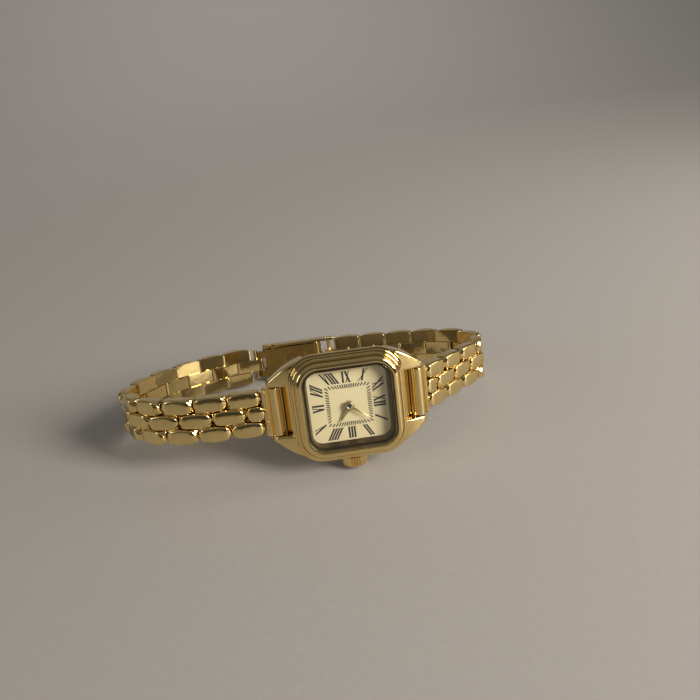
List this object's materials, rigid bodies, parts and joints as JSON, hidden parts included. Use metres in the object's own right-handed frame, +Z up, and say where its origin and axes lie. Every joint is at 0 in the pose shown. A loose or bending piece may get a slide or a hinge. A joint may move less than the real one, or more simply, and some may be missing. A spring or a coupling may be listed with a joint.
{
  "type": "wristwatch",
  "caption": "Small rounded-square dress wristwatch closed on its brick-link bracelet and lying on its side; hands, crown, links and fold-over clasp move.",
  "frame": {"origin": "middle of the bounding box at the ground it lies on", "axes": "+X to the 12 o'clock side, -Y out of the dial (tilted), +Z up to the 9 o'clock side"},
  "size_m": [0.0755, 0.0438, 0.0226],
  "materials": {
    "gold": "gold plated, polished",
    "crystal": "clear, flat",
    "white_gasket": "matt",
    "dark_ring": "satin dark bronze",
    "dial": "satin champagne",
    "print": "black print",
    "gear_brass": "machined",
    "rotor_magnet": "ground",
    "steel": "fine brushed",
    "back_steel": "satin",
    "coil_copper": "varnished wire",
    "board": "solder mask",
    "holder_plastic": "moulded",
    "black_gasket": "moulded"
  },
  "bodies": {
    "head": {"case_body": "gold", "bezel": "gold", "crystal": "crystal", "crystal_gasket": "white_gasket", "rehaut": "dark_ring", "dial": "dial", "dial_print": "print", "stator": "steel", "coil": "coil_copper", "circuit_board": "board", "main_plate": "gear_brass", "train_bridge": "gear_brass", "movement_screws": "steel", "movement_holder": "holder_plastic", "battery": "steel", "battery_clamp": "gear_brass", "crown_tube": "gold", "case_back": "back_steel", "case_back_gasket": "black_gasket", "spring_bars": "steel"},
    "minute": {"minute_hand": "gold", "cannon_pinion": "gear_brass", "centre_wheel": "gear_brass"},
    "hour": {"hour_hand": "gold", "hour_wheel": "gear_brass"},
    "minute_wheel": {"minute_wheel": "gear_brass"},
    "third_wheel": {"third_wheel": "gear_brass"},
    "rotor": {"rotor": "rotor_magnet"},
    "yoke": {"stem_yoke": "steel"},
    "crown": {"crown": "gold", "stem": "steel", "crown_gasket": "black_gasket"},
    "end_link_12": {"end_link_12": "gold"},
    "link_12_1": {"link_12_1": "gold"},
    "link_12_2": {"link_12_2": "gold"},
    "link_12_3": {"link_12_3": "gold"},
    "link_12_4": {"link_12_4": "gold"},
    "link_12_5": {"link_12_5": "gold"},
    "link_12_6": {"link_12_6": "gold"},
    "link_12_7": {"link_12_7": "gold"},
    "link_12_8": {"link_12_8": "gold"},
    "link_12_9": {"link_12_9": "gold"},
    "link_12_10": {"link_12_10": "gold"},
    "clasp_cover": {"clasp_cover": "gold"},
    "clasp_blade": {"clasp_blade": "gold"},
    "end_link_6": {"end_link_6": "gold"},
    "link_6_1": {"link_6_1": "gold"},
    "link_6_2": {"link_6_2": "gold"},
    "link_6_3": {"link_6_3": "gold"},
    "link_6_4": {"link_6_4": "gold"},
    "link_6_5": {"link_6_5": "gold"},
    "link_6_6": {"link_6_6": "gold"},
    "link_6_7": {"link_6_7": "gold"},
    "link_6_8": {"link_6_8": "gold"},
    "link_6_9": {"link_6_9": "gold"},
    "link_6_10": {"link_6_10": "gold"},
    "link_6_11": {"link_6_11": "gold"}
  },
  "joints": [
    {"name": "minute_spin", "type": "hinge", "parent": "head", "child": "minute", "pos_m": [0.00601, -0.01814, 0.01288], "axis": [0, 0.9763, -0.2164], "continuous": true},
    {"name": "hour_spin", "type": "hinge", "parent": "head", "child": "hour", "pos_m": [0.00601, -0.01794, 0.01283], "axis": [0, 0.9763, -0.2164], "continuous": true},
    {"name": "minute_wheel_spin", "type": "hinge", "parent": "head", "child": "minute_wheel", "pos_m": [0.00486, -0.01661, 0.01422], "axis": [0, 0.9763, -0.2164], "continuous": true},
    {"name": "third_wheel_spin", "type": "hinge", "parent": "head", "child": "third_wheel", "pos_m": [0.00809, -0.01605, 0.01119], "axis": [0, 0.9763, -0.2164], "continuous": true},
    {"name": "rotor_spin", "type": "hinge", "parent": "head", "child": "rotor", "pos_m": [0.00974, -0.01599, 0.01147], "axis": [0, 0.9763, -0.2164], "continuous": true},
    {"name": "crown_pull", "type": "slide", "parent": "head", "child": "yoke", "axis": [0, -0.2164, -0.9763], "range_m": [0, 0.0009]},
    {"name": "crown_spin", "type": "hinge", "parent": "yoke", "child": "crown", "pos_m": [0.00601, -0.01813, 0.00161], "axis": [0, -0.2164, -0.9763], "continuous": true},
    {"name": "end_12_hinge", "type": "hinge", "parent": "head", "child": "end_link_12", "pos_m": [0.01901, -0.0154, 0.01227], "axis": [0, 0.2164, 0.9763], "range_deg": [-46, 0]},
    {"name": "link_12_1_hinge", "type": "hinge", "parent": "end_link_12", "child": "link_12_1", "pos_m": [0.02181, -0.01276, 0.01169], "axis": [0, 0.2164, 0.9763], "range_deg": [-1.8, 0]},
    {"name": "link_12_2_hinge", "type": "hinge", "parent": "link_12_1", "child": "link_12_2", "pos_m": [0.02622, -0.00864, 0.01077], "axis": [0, 0.2164, 0.9763], "range_deg": [-1.8, 0]},
    {"name": "link_12_3_hinge", "type": "hinge", "parent": "link_12_2", "child": "link_12_3", "pos_m": [0.03063, -0.00453, 0.00986], "axis": [0, 0.2164, 0.9763], "range_deg": [-1.8, 0]},
    {"name": "link_12_4_hinge", "type": "hinge", "parent": "link_12_3", "child": "link_12_4", "pos_m": [0.03507, -0.00044, 0.00895], "axis": [0, 0.2164, 0.9763], "range_deg": [-35.8, 0]},
    {"name": "link_12_5_hinge", "type": "hinge", "parent": "link_12_4", "child": "link_12_5", "pos_m": [0.03642, 0.00537, 0.00767], "axis": [0, 0.2164, 0.9763], "range_deg": [-38.8, 0]},
    {"name": "link_12_6_hinge", "type": "hinge", "parent": "link_12_5", "child": "link_12_6", "pos_m": [0.03394, 0.01081, 0.00646], "axis": [0, 0.2164, 0.9763], "range_deg": [-34.8, 0]},
    {"name": "link_12_7_hinge", "type": "hinge", "parent": "link_12_6", "child": "link_12_7", "pos_m": [0.02883, 0.01407, 0.00574], "axis": [0, 0.2164, 0.9763], "range_deg": [-15.8, 0]},
    {"name": "link_12_8_hinge", "type": "hinge", "parent": "link_12_7", "child": "link_12_8", "pos_m": [0.02308, 0.01605, 0.0053], "axis": [0, 0.2164, 0.9763], "range_deg": [-6.8, 0]},
    {"name": "link_12_9_hinge", "type": "hinge", "parent": "link_12_8", "child": "link_12_9", "pos_m": [0.01718, 0.01755, 0.00497], "axis": [0, 0.2164, 0.9763], "range_deg": [-4.8, 0]},
    {"name": "link_12_10_hinge", "type": "hinge", "parent": "link_12_9", "child": "link_12_10", "pos_m": [0.01121, 0.01877, 0.0047], "axis": [0, 0.2164, 0.9763], "range_deg": [-3.8, 0]},
    {"name": "clasp_cover_hinge", "type": "hinge", "parent": "link_12_10", "child": "clasp_cover", "pos_m": [0.0052, 0.01981, 0.00447], "axis": [0, 0.2164, 0.9763], "range_deg": [-12.41, 0]},
    {"name": "clasp_blade_hinge", "type": "hinge", "parent": "clasp_cover", "child": "clasp_blade", "pos_m": [0.00218, 0.01944, 0.00455], "axis": [0, 0.2164, 0.9763], "range_deg": [0, 110]},
    {"name": "end_6_hinge", "type": "hinge", "parent": "head", "child": "end_link_6", "pos_m": [-0.00699, -0.0154, 0.01227], "axis": [0, -0.2164, -0.9763], "range_deg": [-5, 0]},
    {"name": "link_6_1_hinge", "type": "hinge", "parent": "end_link_6", "child": "link_6_1", "pos_m": [-0.01089, -0.0152, 0.01223], "axis": [0, -0.2164, -0.9763], "range_deg": [-1.8, 0]},
    {"name": "link_6_2_hinge", "type": "hinge", "parent": "link_6_1", "child": "link_6_2", "pos_m": [-0.01698, -0.01491, 0.01216], "axis": [0, -0.2164, -0.9763], "range_deg": [-5.8, 0]},
    {"name": "link_6_3_hinge", "type": "hinge", "parent": "link_6_2", "child": "link_6_3", "pos_m": [-0.02304, -0.01423, 0.01201], "axis": [0, -0.2164, -0.9763], "range_deg": [-13.8, 0]},
    {"name": "link_6_4_hinge", "type": "hinge", "parent": "link_6_3", "child": "link_6_4", "pos_m": [-0.02883, -0.01235, 0.01159], "axis": [0, -0.2164, -0.9763], "range_deg": [-22.8, 0]},
    {"name": "link_6_5_hinge", "type": "hinge", "parent": "link_6_4", "child": "link_6_5", "pos_m": [-0.03355, -0.00859, 0.01076], "axis": [0, -0.2164, -0.9763], "range_deg": [-24.8, 0]},
    {"name": "link_6_6_hinge", "type": "hinge", "parent": "link_6_5", "child": "link_6_6", "pos_m": [-0.03642, -0.00333, 0.00959], "axis": [0, -0.2164, -0.9763], "range_deg": [-37.8, 0]},
    {"name": "link_6_7_hinge", "type": "hinge", "parent": "link_6_6", "child": "link_6_7", "pos_m": [-0.03559, 0.00257, 0.00829], "axis": [0, -0.2164, -0.9763], "range_deg": [-21.8, 0]},
    {"name": "link_6_8_hinge", "type": "hinge", "parent": "link_6_7", "child": "link_6_8", "pos_m": [-0.03277, 0.00785, 0.00712], "axis": [0, -0.2164, -0.9763], "range_deg": [-15.8, 0]},
    {"name": "link_6_9_hinge", "type": "hinge", "parent": "link_6_8", "child": "link_6_9", "pos_m": [-0.02873, 0.01232, 0.00613], "axis": [0, -0.2164, -0.9763], "range_deg": [-14.8, 0]},
    {"name": "link_6_10_hinge", "type": "hinge", "parent": "link_6_9", "child": "link_6_10", "pos_m": [-0.02379, 0.0158, 0.00535], "axis": [0, -0.2164, -0.9763], "range_deg": [-13.8, 0]},
    {"name": "link_6_11_hinge", "type": "hinge", "parent": "link_6_10", "child": "link_6_11", "pos_m": [-0.01821, 0.01823, 0.00482], "axis": [0, -0.2164, -0.9763], "range_deg": [-11.8, 0]}
  ],
  "couplings": [
    {"joint": "hour_spin", "follows": "minute_spin", "ratio": 0.083333},
    {"joint": "minute_wheel_spin", "follows": "minute_spin", "ratio": -0.33333},
    {"joint": "third_wheel_spin", "follows": "minute_spin", "ratio": -5},
    {"joint": "rotor_spin", "follows": "minute_spin", "ratio": 30}
  ]
}
